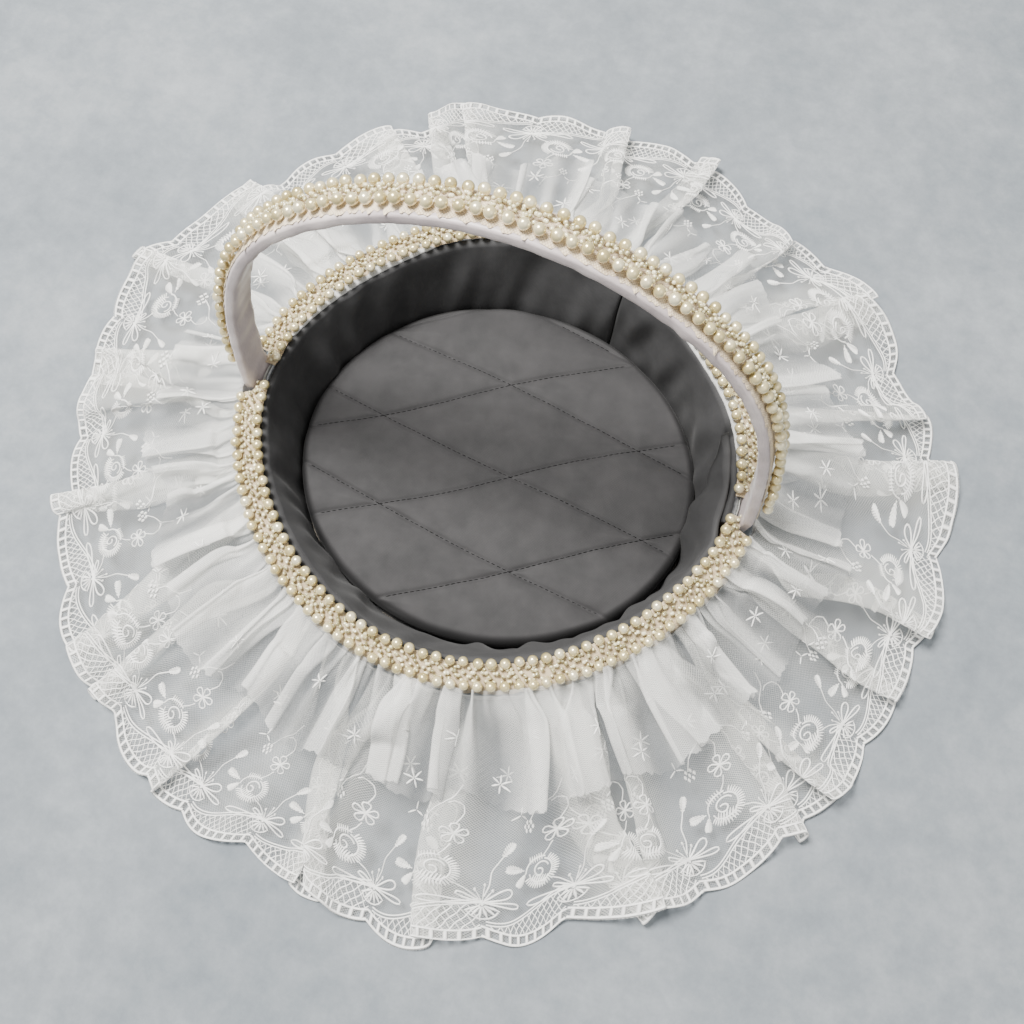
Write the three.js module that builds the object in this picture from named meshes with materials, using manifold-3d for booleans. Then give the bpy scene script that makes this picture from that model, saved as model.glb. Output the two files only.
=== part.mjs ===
// A flower girl basket: a tapered oval basket with a padded lining, a loose quilted base pad,
// a pearl-trimmed rim and arch handle, and two gathered ruffles that spread on the floor.
// Units are millimetres, +Z is up, +X runs along the handle's span, and the origin is the centre
// of the base board's underside, on the floor.
import * as THREE from 'three';
import { mergeVertices } from 'three/addons/utils/BufferGeometryUtils.js';
import Module from 'manifold-3d';

// Driving dimensions. An "offset" is a distance outwards from the lining's inner face.
const GAP = 0.3; // between touching pieces
const SIDES = 52; // flats round a full ring
const RIM_Z = 58; // height at which the mouth's half widths are measured
const MOUTH = { x: 112.5, y: 106.5 }; // half widths inside the lining at the rim
const FOOT = { x: 105, y: 92.5 }; // half widths inside the lining at the floor

const BOARD_T = 3;
const BASE_LINING_T = 1;
const PAD_T = 15.5;
const PAD_PLAY = 2.2; // free space all round the loose pad
const LINING_T = 4.4;
const LINING_TOP = 57.4;
// The short lining panel's two edges, as angles round the basket, and its play beside the long one.
const SIDE_PANEL = {
  from: THREE.MathUtils.degToRad(-5),
  to: THREE.MathUtils.degToRad(70),
  seam: THREE.MathUtils.degToRad(0.2),
};
const SHELL_T = 2.5;
const SHELL_TOP = 53.6;
const COVER_T = 0.8;
const COVER_TOP = 56.2;
const RIM_WIRE_D = 3;

const PEARL_D = 5;
const PEARL_Z = 62; // centres of the inner row
const INNER_ROW = 3.5; // offset of the inner row's centres
const OUTER_ROW = 14.5;
const TRIM_DROP = 2.5; // how much lower the outer row lies
const TAPE_T = 0.6;
const TAPE_EDGE = 2.5; // tape beyond each row's centre line
const SEED_STRIP = { width: 4.6, height: 2.2 };
const TRIM_BREAK = 12.5; // half width of the break in the trim at each handle end

const HANDLE_LEAN = THREE.MathUtils.degToRad(12.3); // backwards, towards +Y
const HANDLE_RISE = 139; // from the trim's height to the core's top, along the lean
const ARCH_POWER = 2.04; // superellipse exponent: hardly squarer than an ellipse
const ARCH_BULGE = 10.4; // how far the arch swells beyond its ends on the way up
const ARCH_SKEW = -8; // how far the arch's top sits to one side of its ends
const TAIL_LOW = 13; // height of the tails' lower ends
const CORE = { width: 17, thick: 4 };
const WRAP_T = 0.7;
const HANDLE_TRIM_REACH = 5.2; // from the band's middle to each pearl row
const HANDLE_TRIM_START = 66; // height at which the handle's trim starts
const RIVET = { shaft: 1.5, head: 3, heads: 0.5, heights: [22, 42] };

const RUFFLE_START = 17.8; // offset at which the ruffles leave the heading
const HEADING = { offset: 16.5, thick: 0.9, low: 43, high: 54.4 };
const FOLDS = 26;
const FOLD_HEIGHT = 20; // of a fold's crest at the long ruffle's hem
const LONG_RUFFLE = {
  thick: 1.2,
  // Offset and height of the underside, from the heading down to the floor.
  fall: [[RUFFLE_START, 45.5], [38, 36.5], [60, 26.5], [82, 16.5], [104, 7], [118, 2], [126, 0]],
};
const SHORT_RUFFLE = {
  thick: 1,
  fall: [[RUFFLE_START, 50.6], [30, 46], [45, 39.5], [62, 32.5]],
};

const wasm = await Module();
wasm.setup();

// One look for each kind of cloth, bead, board and metal.
function material(color, roughness, metalness = 0) {
  return new THREE.MeshStandardMaterial({ color, roughness, metalness });
}
const LOOKS = {
  quilt: material(0x66666b, 0.85),
  lining: material(0x5a5a60, 0.85),
  board: material(0xa08c6c, 0.9),
  cane: material(0xb08a58, 0.6),
  cover: material(0xe9e4e2, 0.85),
  steel: material(0xa8a8a8, 0.35, 1),
  pearl: material(0xeee3c6, 0.25),
  seed: material(0xe9dfc4, 0.3),
  tape: material(0xefe5d8, 0.8),
  satin: material(0xcfc3c6, 0.45),
  tulle: material(0xf3efee, 0.9),
  lace: material(0xf6f3f1, 0.9),
};

const basket = new THREE.Group();

function add(name, geometry, look) {
  const mesh = new THREE.Mesh(geometry, look);
  mesh.name = name;
  basket.add(mesh);
  return mesh;
}

// Half widths of the oval at a height, where the lining's inner face runs.
function halfWidths(z) {
  const share = z / RIM_Z;
  return {
    x: THREE.MathUtils.lerp(FOOT.x, MOUTH.x, share),
    y: THREE.MathUtils.lerp(FOOT.y, MOUTH.y, share),
  };
}

// Turns a profile of [offset, z] corners round the oval. The profile runs so that its solid lies on
// its left. An offset of null is the axis. The oval's half widths come from widthsAt(z).
function oval(profile, widthsAt = halfWidths, sides = SIDES, lift = () => 0) {
  const ON_AXIS = 0;
  const BASE = 1000; // lathe radius that stands for offset 0
  const corners = profile.map(([offset, z]) =>
    new THREE.Vector2(offset === null ? ON_AXIS : BASE + offset, z));
  if (profile[0][0] !== null) corners.push(corners[0].clone());
  const geometry = new THREE.LatheGeometry(corners, sides);
  geometry.rotateX(Math.PI / 2);
  const at = geometry.attributes.position;
  for (let i = 0; i < at.count; i++) {
    const angle = Math.atan2(at.getY(i), at.getX(i));
    const radius = Math.hypot(at.getX(i), at.getY(i));
    const z = at.getZ(i);
    if (radius < 1) {
      at.setXYZ(i, 0, 0, z);
      continue;
    }
    const offset = radius - BASE;
    const half = widthsAt(z);
    at.setXYZ(
      i,
      (half.x + offset) * Math.cos(angle),
      (half.y + offset) * Math.sin(angle),
      z + lift(offset, angle),
    );
  }
  return geometry;
}

// The mouth's half widths at every height, for what hangs outside the tapered wall.
function mouthWidths() {
  return MOUTH;
}

// A wall that stands between two offsets and two heights.
function ovalWall(offset, thick, low, high, widthsAt) {
  const corners = [[offset, low], [offset + thick, low], [offset + thick, high], [offset, high]];
  return oval(corners, widthsAt);
}

// A disc whose edge is at an offset.
function ovalDisc(offset, low, thick) {
  return oval([[null, low], [offset, low], [offset, low + thick], [null, low + thick]]);
}

// Closed geometry to and from a manifold-3d solid.
function solidOf(geometry) {
  const bare = geometry.clone();
  bare.deleteAttribute('normal');
  bare.deleteAttribute('uv');
  const merged = mergeVertices(bare, 1e-3);
  return new wasm.Manifold(new wasm.Mesh({
    numProp: 3,
    vertProperties: merged.attributes.position.array,
    triVerts: new Uint32Array(merged.index.array),
  }));
}
function geometryOf(solid) {
  const { vertProperties, triVerts } = solid.getMesh();
  const geometry = new THREE.BufferGeometry();
  geometry.setAttribute('position', new THREE.BufferAttribute(vertProperties, 3));
  geometry.setIndex(new THREE.BufferAttribute(triVerts, 1));
  geometry.computeVertexNormals();
  return geometry;
}
function cut(geometry, tools) {
  return geometryOf(tools.reduce((solid, tool) => solid.subtract(solidOf(tool)), solidOf(geometry)));
}

// A wedge of the basket's height, from one angle to another, that cuts a sector out of a ring.
function wedge(from, to) {
  const REACH = 400;
  const HALVES = 12;
  const shape = new THREE.Shape();
  shape.moveTo(0, 0);
  for (let i = 0; i <= HALVES; i++) {
    const angle = THREE.MathUtils.lerp(from, to, i / HALVES);
    shape.lineTo(REACH * Math.cos(angle), REACH * Math.sin(angle));
  }
  const geometry = new THREE.ExtrudeGeometry(shape, { depth: 2 * RIM_Z, bevelEnabled: false });
  return geometry.translate(0, 0, -RIM_Z / 2);
}

// A path whose sections stand square to it: shape x is outwards and shape y is the third direction.
class FramedPath extends THREE.Curve {
  outwardAt() {
    return new THREE.Vector3();
  }

  computeFrenetFrames(segments) {
    const tangents = [];
    const normals = [];
    const binormals = [];
    for (let i = 0; i <= segments; i++) {
      const u = i / segments;
      const tangent = this.getTangentAt(u);
      const outward = this.outwardAt(u, tangent);
      outward.addScaledVector(tangent, -outward.dot(tangent)).normalize();
      tangents.push(tangent);
      normals.push(outward);
      binormals.push(new THREE.Vector3().crossVectors(tangent, outward));
    }
    return { tangents, normals, binormals };
  }
}

// An arc of the oval mouth at an offset, anticlockwise, between two angles. Shape y is down.
class RimArc extends FramedPath {
  constructor(offset, z, from, to) {
    super();
    Object.assign(this, { offset, z, from, to });
  }

  getPoint(t, target = new THREE.Vector3()) {
    const angle = THREE.MathUtils.lerp(this.from, this.to, t);
    return target.set(
      (MOUTH.x + this.offset) * Math.cos(angle),
      (MOUTH.y + this.offset) * Math.sin(angle),
      this.z,
    );
  }

  outwardAt(u, tangent) {
    return new THREE.Vector3().crossVectors(tangent, new THREE.Vector3(0, 0, 1));
  }
}

// The handle's line at a distance outside its core's middle: up the left tail, over the leaning
// arch and down the right tail. Shape x is outwards from the arch, shape y is across the band.
class HandleLine extends FramedPath {
  constructor(outside, low) {
    super();
    const points = [];
    const foot = (z) => halfWidths(z).x + CORE_OFFSET + outside;
    const tail = [];
    for (let z = low; z < PEARL_Z - 6; z += 12) tail.push(new THREE.Vector3(-foot(z), 0, z));
    points.push(...tail);
    const ARCH_STEPS = 28;
    const reach = foot(PEARL_Z) + 0.5;
    const start = low < PEARL_Z ? 0 : Math.asin(((low - PEARL_Z) / HANDLE_RISE) ** (ARCH_POWER / 2));
    for (let i = 0; i <= ARCH_STEPS; i++) {
      const angle = THREE.MathUtils.lerp(Math.PI - start, start, i / ARCH_STEPS);
      const c = Math.cos(angle);
      const rise = (HANDLE_RISE + outside) * Math.max(Math.sin(angle), 0) ** (2 / ARCH_POWER);
      const swell = ARCH_BULGE * c * Math.sin(2 * angle) ** 2 + (ARCH_SKEW * rise) / HANDLE_RISE;
      const x = reach * Math.sign(c) * Math.abs(c) ** (2 / ARCH_POWER) + swell;
      points.push(new THREE.Vector3(x, rise * Math.sin(HANDLE_LEAN), PEARL_Z + rise * Math.cos(HANDLE_LEAN)));
    }
    points.push(...tail.reverse().map((p) => new THREE.Vector3(-p.x, 0, p.z)));
    this.spline = new THREE.CatmullRomCurve3(points, false, 'centripetal');
  }

  getPoint(t, target) {
    return this.spline.getPoint(t, target);
  }

  outwardAt(u, tangent) {
    const share = THREE.MathUtils.smoothstep(this.getPointAt(u).z, PEARL_Z - 12, PEARL_Z + 25);
    const lean = HANDLE_LEAN * share;
    const across = new THREE.Vector3(0, Math.cos(lean), -Math.sin(lean));
    return new THREE.Vector3().crossVectors(tangent, across);
  }
}

// Offsets and heights that follow from the driving dimensions, from the inside out.
const shellOffset = LINING_T + 2 * GAP + RIVET.heads;
const coverOffset = shellOffset + SHELL_T + GAP;
const wrapOffset = coverOffset + COVER_T + GAP;
const CORE_OFFSET = wrapOffset + WRAP_T + GAP + CORE.thick / 2;
const wrapThick = CORE.thick + 2 * (WRAP_T + GAP);
const baseLiningZ = BOARD_T + GAP;
const padZ = baseLiningZ + BASE_LINING_T + GAP;

function alongPath(shape, path, steps, curveSegments = 4) {
  return new THREE.ExtrudeGeometry(shape, { extrudePath: path, steps, curveSegments, bevelEnabled: false });
}
function boxShape(x, y, width, height) {
  const shape = new THREE.Shape();
  shape.moveTo(x, y);
  shape.lineTo(x + width, y);
  shape.lineTo(x + width, y + height);
  shape.lineTo(x, y + height);
  return shape;
}
function roundShape(radius) {
  return new THREE.Shape().absarc(0, 0, radius, 0, 2 * Math.PI);
}

// Base: the board, its cloth and the loose quilted pad.
function makeBase() {
  add('base_board', ovalDisc(coverOffset - GAP, 0, BOARD_T), LOOKS.board);
  add('base_lining', ovalDisc(-GAP, baseLiningZ, BASE_LINING_T), LOOKS.lining);
  const edge = -PAD_PLAY;
  const round = 5;
  const top = padZ + PAD_T;
  add('base_pad', oval([
    [null, padZ], [edge - round, padZ], [edge - 1, padZ + round / 2], [edge, padZ + PAD_T / 2],
    [edge - 1, top - round], [edge - round, top - 2], [edge - 4 * round, top - 0.5], [null, top],
  ]), LOOKS.quilt);
}

// Wall, from the padded lining out to the cover, with the hoop on the shell's edge.
function makeWall(rivetHoles) {
  const wallZ = BOARD_T + GAP;
  const lining = solidOf(oval([
    [0, wallZ], [LINING_T, wallZ], [LINING_T, LINING_TOP - 1.5],
    [LINING_T - 1.5, LINING_TOP], [1.5, LINING_TOP], [0, LINING_TOP - 1.5],
  ]));
  const { from, to, seam } = SIDE_PANEL;
  const side = lining.intersect(solidOf(wedge(from, to)));
  add('wall_lining_side', geometryOf(side), LOOKS.lining);
  add('wall_lining_main', cut(geometryOf(lining), [wedge(from - seam, to + seam)]), LOOKS.lining);
  add('wall_shell', cut(ovalWall(shellOffset, SHELL_T, wallZ, SHELL_TOP), rivetHoles), LOOKS.board);
  add('outer_cover', cut(ovalWall(coverOffset, COVER_T, 1, COVER_TOP), rivetHoles), LOOKS.cover);
  const wireZ = SHELL_TOP + GAP + RIM_WIRE_D / 2;
  const wire = roundShape(RIM_WIRE_D / 2).getPoints(2).slice(0, -1);
  const middle = shellOffset + SHELL_T / 2;
  add('rim_wire', oval(wire.map((p) => [middle + p.x, wireZ + p.y])), LOOKS.steel);
}

// One run of the rim's trim: tape, two rows of pearls and the seed beads between them.
function makeRimTrim(side, from, to) {
  const STEPS = 26;
  const slope = TRIM_DROP / (OUTER_ROW - INNER_ROW);
  const tapeTop = PEARL_Z - PEARL_D / 2 - GAP;
  const tape = new THREE.Shape();
  const [near, far] = [-TAPE_EDGE, OUTER_ROW - INNER_ROW + TAPE_EDGE];
  tape.moveTo(near, near * slope);
  tape.lineTo(far, far * slope);
  tape.lineTo(far, far * slope + TAPE_T);
  tape.lineTo(near, near * slope + TAPE_T);
  add(`rim_tape_${side}`, alongPath(tape, new RimArc(INNER_ROW, tapeTop, from, to), STEPS), LOOKS.tape);

  const rows = { inner: [INNER_ROW, PEARL_Z], outer: [OUTER_ROW, PEARL_Z - TRIM_DROP] };
  for (const [row, [offset, z]] of Object.entries(rows)) {
    const arc = new RimArc(offset, z, from, to);
    add(`rim_pearls_${row}_${side}`, alongPath(roundShape(PEARL_D / 2), arc, STEPS), LOOKS.pearl);
  }
  const middle = (INNER_ROW + OUTER_ROW) / 2;
  const seedZ = tapeTop - TRIM_DROP / 2 + SEED_STRIP.height / 2 + 2 * GAP;
  const { width, height } = SEED_STRIP;
  const strip = boxShape(-width / 2, -height / 2, width, height);
  add(`rim_seed_beads_${side}`, alongPath(strip, new RimArc(middle, seedZ, from, to), STEPS), LOOKS.seed);
}

// A body turned about the line of a rivet, from a profile of [radius, offset from the lining].
function rivetBody(profile, height, mirrored) {
  const SIDES_OF_RIVET = 10;
  const geometry = new THREE.LatheGeometry(
    profile.map(([radius, offset]) => new THREE.Vector2(radius, offset)),
    SIDES_OF_RIVET,
  );
  const slope = Math.atan2(MOUTH.x - FOOT.x, RIM_Z);
  geometry.rotateZ(-Math.PI / 2).rotateY(slope);
  geometry.translate(halfWidths(height).x, 0, height);
  return mirrored ? geometry.rotateZ(Math.PI) : geometry;
}

// Rivets and the holes that they pass through.
function rivetPlaces() {
  const places = [];
  for (const side of ['left', 'right']) {
    RIVET.heights.forEach((height, i) => places.push({
      name: `handle_rivet_${side}_${['lower', 'upper'][i]}`, height, mirrored: side === 'left',
    }));
  }
  return places;
}
function rivetHoles(places) {
  const radius = RIVET.shaft + GAP;
  const drill = [[0, -10], [radius, -10], [radius, 30], [0, 30]];
  return places.map(({ height, mirrored }) => rivetBody(drill, height, mirrored));
}
function makeRivets(places) {
  const { shaft, head, heads } = RIVET;
  const inner = LINING_T + GAP;
  const outer = wrapOffset + wrapThick + GAP;
  const profile = [
    [0, inner], [head, inner], [head, inner + heads], [shaft, inner + heads],
    [shaft, outer], [head, outer], [head, outer + heads], [0, outer + heads],
  ];
  for (const { name, height, mirrored } of places) {
    add(name, rivetBody(profile, height, mirrored), LOOKS.steel);
  }
}

// Handle: a flat core in a satin tube, with the pearl trim on its outer face.
function makeHandle(holes) {
  const STEPS = 46;
  const { width, thick } = CORE;
  const core = alongPath(boxShape(-thick / 2, -width / 2, thick, width), new HandleLine(0, TAIL_LOW), STEPS);
  add('handle_core', cut(core, holes), LOOKS.cane);
  const outerHalf = width / 2 + GAP + WRAP_T;
  const tube = boxShape(-wrapThick / 2, -outerHalf, wrapThick, 2 * outerHalf);
  const room = width / 2 + GAP;
  tube.holes.push(boxShape(-thick / 2 - GAP, -room, thick + 2 * GAP, 2 * room));
  const wrap = alongPath(tube, new HandleLine(0, TAIL_LOW), STEPS);
  add('handle_wrap', cut(wrap, holes), LOOKS.satin);

  const face = wrapThick / 2 + GAP;
  const tapeHalf = HANDLE_TRIM_REACH + TAPE_EDGE;
  const tape = boxShape(face, -tapeHalf, TAPE_T, 2 * tapeHalf);
  const trimLine = () => new HandleLine(0, HANDLE_TRIM_START);
  add('handle_trim_tape', alongPath(tape, trimLine(), STEPS), LOOKS.tape);
  const pearlLine = face + TAPE_T + GAP + PEARL_D / 2;
  for (const [row, side] of [['front', 1], ['back', -1]]) {
    const shape = new THREE.Shape();
    shape.absarc(pearlLine, side * HANDLE_TRIM_REACH, PEARL_D / 2, 0, 2 * Math.PI);
    add(`handle_pearls_${row}`, alongPath(shape, trimLine(), STEPS), LOOKS.pearl);
  }
  const seed = boxShape(face + TAPE_T + GAP, -SEED_STRIP.width / 2, SEED_STRIP.height, SEED_STRIP.width);
  add('handle_seed_beads', alongPath(seed, trimLine(), STEPS), LOOKS.seed);
}

// A fold lifts the cloth more towards the hem, and both ruffles share the folds.
function foldLift(offset, angle) {
  const end = LONG_RUFFLE.fall[LONG_RUFFLE.fall.length - 1][0];
  const out = Math.max(offset - RUFFLE_START, 0) / (end - RUFFLE_START);
  return FOLD_HEIGHT * out ** 1.2 * (0.5 + 0.5 * Math.cos(FOLDS * angle));
}
function makeRuffles() {
  const { offset, thick, low, high } = HEADING;
  add('ruffle_heading', ovalWall(offset, thick, low, high, mouthWidths), LOOKS.tape);
  const ruffle = (name, { thick: cloth, fall }, look) => {
    const over = fall.map(([out, z]) => [out, z + cloth]).reverse();
    add(name, oval([...fall, ...over], mouthWidths, 4 * FOLDS, foldLift), look);
  };
  ruffle('short_ruffle', SHORT_RUFFLE, LOOKS.tulle);
  ruffle('long_ruffle', LONG_RUFFLE, LOOKS.lace);
}

const places = rivetPlaces();
const holes = rivetHoles(places);
const breakAngle = Math.asin(TRIM_BREAK / MOUTH.y);
makeBase();
makeWall(holes);
makeRimTrim('front', -Math.PI + breakAngle, -breakAngle);
makeRimTrim('back', breakAngle, Math.PI - breakAngle);
makeHandle(holes);
makeRivets(places);
makeRuffles();

export default basket;
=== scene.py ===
"""A flower girl basket: quilted pad, padded lining, pearl trim, satin handle and two gathered lace ruffles.

Lengths are in metres unless a name says otherwise. The basket stands on z = 0 with its mouth up,
and its handle goes over from -X to +X, leaning back towards +Y.
"""

import math

import bmesh
import bpy
import numpy as np
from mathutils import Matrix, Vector


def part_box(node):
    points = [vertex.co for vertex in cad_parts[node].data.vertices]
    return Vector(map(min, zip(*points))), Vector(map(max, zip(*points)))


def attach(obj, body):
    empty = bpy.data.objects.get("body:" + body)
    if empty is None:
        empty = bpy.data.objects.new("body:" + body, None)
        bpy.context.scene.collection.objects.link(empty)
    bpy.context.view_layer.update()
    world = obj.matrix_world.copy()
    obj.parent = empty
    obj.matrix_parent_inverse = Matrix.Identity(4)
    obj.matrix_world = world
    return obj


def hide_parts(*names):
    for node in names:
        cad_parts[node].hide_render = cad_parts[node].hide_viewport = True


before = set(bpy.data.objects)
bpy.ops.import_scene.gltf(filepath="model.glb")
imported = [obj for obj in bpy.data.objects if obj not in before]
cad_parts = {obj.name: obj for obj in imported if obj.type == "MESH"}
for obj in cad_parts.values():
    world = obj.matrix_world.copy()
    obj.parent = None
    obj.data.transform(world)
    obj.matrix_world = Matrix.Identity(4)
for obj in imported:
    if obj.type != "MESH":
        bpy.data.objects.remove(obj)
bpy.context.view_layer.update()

MM = 0.001
TURN = 2 * math.pi
rng = np.random.default_rng(7)

# ---- Sizes ----
# An offset is a distance outwards from the lining's inner face.
GAP = 0.3 * MM  # between touching pieces
SHELL_OUTSIDE = 8 * MM  # offset of the shell's outer face
CORE_T = 4 * MM  # thickness of the handle's core


def span(node):
    """The lowest and highest corner of a CAD node, as arrays."""
    return [np.array(corner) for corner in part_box(node)]


shell_high = span("wall_shell")[1]
floor_low, floor_high = span("base_lining")
FOOT_Z, FOOT = floor_high[2], floor_high[:2] + GAP
TOP_Z, TOP = shell_high[2], shell_high[:2] - SHELL_OUTSIDE
LINING_LOW, LINING_TOP = (box[2] for box in span("wall_lining_main"))
PEARL_R = 2.5 * MM
inner_low, inner_high = span("rim_pearls_inner_front")
outer_low, outer_high = span("rim_pearls_outer_front")
PEARL_Z = inner_high[2] - PEARL_R
TRIM_DROP = inner_high[2] - outer_high[2]


def stacked(*parts):
    """Arrays joined along a new last axis, each spread to their common shape first."""
    return np.stack(np.broadcast_arrays(*parts), -1)


def half_widths(z):
    """Half widths of the lining's inner face at height z, as arrays x and y."""
    share = (np.asarray(z, float) - FOOT_Z) / (TOP_Z - FOOT_Z)
    return FOOT[0] + (TOP[0] - FOOT[0]) * share, FOOT[1] + (TOP[1] - FOOT[1]) * share


MOUTH_X, MOUTH_Y = half_widths(58 * MM)
MOUTH_R = (MOUTH_X + MOUTH_Y) / 2
INNER_ROW = -inner_low[1] - PEARL_R - MOUTH_Y
OUTER_ROW = -outer_low[1] - PEARL_R - MOUTH_Y
TRIM_BREAK = math.asin(-inner_high[1] / MOUTH_Y) - 0.015  # angle from the X axis where the trim stops


def smoothstep(low, high, x):
    t = np.clip((np.asarray(x, float) - low) / (high - low), 0, 1)
    return t * t * (3 - 2 * t)


def hand_bend(theta):
    """How far the hand-bent mouth departs from a true oval at an angle round the basket."""
    wander = 0.5 + 0.65 * np.sin(theta) + np.cos(3 * theta) + 2.1 * np.cos(4 * theta)
    wander = wander + 0.7 * np.sin(4 * theta) + 0.8 * np.sin(5 * theta)
    return 2.6 * MM * np.tanh(wander / 2.6)


def on_wall(theta, offset, z):
    """Points on the wall's oval, whose mouth is hand-bent and whose foot is true."""
    a, b = half_widths(z)
    out = offset + hand_bend(theta) * smoothstep(8 * MM, TOP_Z, z)
    return stacked((a + out) * np.cos(theta), (b + out) * np.sin(theta), z)


def on_mouth(theta, offset, z):
    """Points outside the mouth: the oval keeps the mouth's half widths at every height."""
    out = offset + hand_bend(theta)
    x, y = (MOUTH_X + out) * np.cos(theta), (MOUTH_Y + out) * np.sin(theta)
    return stacked(x, y, z)


class Ripples:
    """Smooth random waves over two coordinates; the first closes on itself after one turn."""

    def __init__(self, seed, count, turns, along, power=1.0):
        draw = np.random.default_rng(seed)
        self.k = np.round(draw.uniform(*turns, count)) * np.where(draw.random(count) < 0.5, -1, 1)
        self.m = draw.uniform(*along, count)
        self.phase = draw.uniform(0, TURN, count)
        self.size = (np.abs(self.k) / np.abs(self.k).min()) ** -power
        self.size /= np.sqrt((self.size**2).sum() / 2)

    def __call__(self, theta, v):
        waves = np.zeros(np.broadcast(theta, v).shape)
        for k, m, phase, size in zip(self.k, self.m, self.phase, self.size):
            waves = waves + size * np.sin(k * theta + m * v + phase)
        return waves


# ---- Meshes ----
def mesh_piece(name, co, faces, material, flat=None, crease_shade=None):
    """A smooth mesh from arrays of corners and of faces.

    flat is each corner's place on the cut cloth, and the last argument how much painted shade darkens each
    corner, 0 to 1.
    """
    mesh = bpy.data.meshes.new(name)
    co, faces = np.asarray(co, float).reshape(-1, 3), np.asarray(faces, int)
    mesh.vertices.add(len(co))
    mesh.vertices.foreach_set("co", co.ravel())
    mesh.loops.add(faces.size)
    mesh.loops.foreach_set("vertex_index", faces.ravel())
    mesh.polygons.add(len(faces))
    mesh.polygons.foreach_set("loop_start", np.arange(len(faces)) * faces.shape[1])
    mesh.polygons.foreach_set("use_smooth", np.ones(len(faces), bool))
    if flat is not None:
        place = mesh.attributes.new("flat", "FLOAT_VECTOR", "POINT")
        flat = np.asarray(flat, float).reshape(-1, 2)
        place.data.foreach_set("vector", np.c_[flat, np.zeros(len(flat))].ravel())
    # Painted shade: how far the cloth materials darken each corner towards near-black
    if crease_shade is not None:
        mesh.attributes.new("crease_shade", "FLOAT", "POINT").data.foreach_set("value", np.ravel(crease_shade))
    mesh.update(calc_edges=True)
    mesh.materials.append(material)
    made = bpy.data.objects.new(name, mesh)
    bpy.context.scene.collection.objects.link(made)
    return made


def grid_faces(rows, columns, round_rows=False, round_columns=False):
    """Quads over a grid of corners, closed on itself where asked."""
    i, j = np.indices((rows - (not round_rows), columns - (not round_columns))).reshape(2, -1)
    i2, j2 = (i + 1) % rows, (j + 1) % columns
    return np.stack([i * columns + j, i * columns + j2, i2 * columns + j2, i2 * columns + j], -1)


def place(piece, slot, stands_for=(), body="basket"):
    """Puts a piece on its body, and hides the CAD nodes that it stands for."""
    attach(piece, body)
    if stands_for:
        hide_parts(*stands_for)


def cloth_piece(name, co, flat, material, slot, stands_for=(), **closed):
    """A grid of cloth on the basket, from its corners as rows by columns."""
    made = mesh_piece(name, co, grid_faces(*co.shape[:2], **closed), material, flat)
    place(made, slot, stands_for)
    return made


def ball(divisions):
    """Corners and faces of a unit ball."""
    bm = bmesh.new()
    bmesh.ops.create_icosphere(bm, subdivisions=divisions, radius=1)
    co = np.array([v.co[:] for v in bm.verts])
    faces = np.array([[v.index for v in f.verts] for f in bm.faces])
    bm.free()
    return co, faces


PEARL, SEED = ball(3), ball(2)


def beads(name, centres, radii, shape, material):
    """Many balls of one shape as one mesh."""
    co, faces = shape
    centres, radii = np.asarray(centres), np.broadcast_to(radii, len(centres))
    points = centres[:, None, :] + co[None] * radii[:, None, None]
    many = faces[None] + (np.arange(len(centres)) * len(co))[:, None, None]
    return mesh_piece(name, points, many.reshape(-1, 3), material)


def arc_lengths(points):
    return np.concatenate([[0], np.cumsum(np.linalg.norm(np.diff(points, axis=0), axis=1))])


def resample(points, places):
    """Points at the given distances along a line."""
    along = arc_lengths(points)
    return np.stack([np.interp(places, along, c) for c in points.T], -1)


# ---- Materials ----
def srgb(*channels):
    """A display colour, 0 to 255, as a linear one."""
    shares = np.array(channels) / 255
    linear = np.where(shares <= 0.04045, shares / 12.92, ((shares + 0.055) / 1.055) ** 2.4)
    return (*linear.tolist(), 1.0)


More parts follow.
